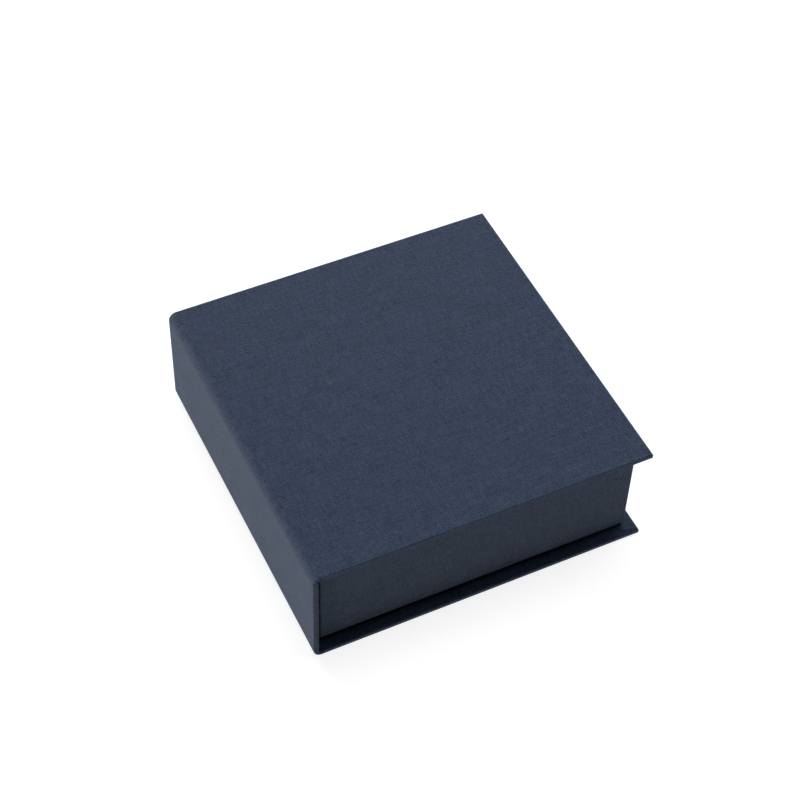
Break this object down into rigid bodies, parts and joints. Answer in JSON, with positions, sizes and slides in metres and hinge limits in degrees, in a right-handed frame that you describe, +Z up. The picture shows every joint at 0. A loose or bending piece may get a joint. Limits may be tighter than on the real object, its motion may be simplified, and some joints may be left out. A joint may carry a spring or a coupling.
{
  "type": "clamshell book box",
  "caption": "Cloth-covered box shaped like a book: a lid tray and a base tray hinged to one spine by cloth joints, so it opens flat.",
  "frame": {"origin": "middle of the underside, on the table", "axes": "+X from the spine to the fore edge, +Y from the tail to the head, +Z up from the table to the lid"},
  "size_m": [0.17, 0.172, 0.06],
  "materials": {
    "cover_cloth": "matte plain-weave book cloth, dark slate blue",
    "tray_cloth": "matte plain-weave book cloth, dark slate blue",
    "liner_cloth": "matte plain-weave book cloth, dark slate blue",
    "greyboard": null,
    "lining_paper": "uncoated lining paper, warm off-white, matte"
  },
  "bodies": {
    "base": {"base_board": "greyboard", "base_cover_cloth": "cover_cloth", "base_liner_flap": "liner_cloth", "base_tray_floor": "greyboard", "base_tray_spine_wall": "greyboard", "base_tray_fore_wall": "greyboard", "base_tray_tail_wall": "greyboard", "base_tray_head_wall": "greyboard", "base_tray_cloth": "tray_cloth", "base_tray_lining": "lining_paper", "lower_joint_cloth": "cover_cloth", "lower_joint_liner": "liner_cloth"},
    "spine": {"spine_board": "greyboard", "spine_cover_cloth": "cover_cloth", "spine_liner": "liner_cloth", "upper_joint_cloth": "cover_cloth", "upper_joint_liner": "liner_cloth"},
    "lid": {"lid_board": "greyboard", "lid_cover_cloth": "cover_cloth", "lid_liner_flap": "liner_cloth", "lid_tray_floor": "greyboard", "lid_tray_fore_wall": "greyboard", "lid_tray_tail_wall": "greyboard", "lid_tray_head_wall": "greyboard", "lid_tray_cloth": "tray_cloth", "lid_tray_lining": "lining_paper"}
  },
  "joints": [
    {"name": "spine_hinge", "type": "hinge", "parent": "base", "child": "spine", "pos_m": [-0.08399, 0, 0.00101], "axis": [0, -1, 0], "range_deg": [0, 90], "deforming": ["lower_joint_cloth", "lower_joint_liner"]},
    {"name": "lid_hinge", "type": "hinge", "parent": "spine", "child": "lid", "pos_m": [-0.08399, 0, 0.05899], "axis": [0, -1, 0], "range_deg": [0, 90], "deforming": ["upper_joint_cloth", "upper_joint_liner"]}
  ],
  "couplings": [
    {"joint": "spine_hinge", "follows": "lid_hinge", "ratio": 1}
  ]
}
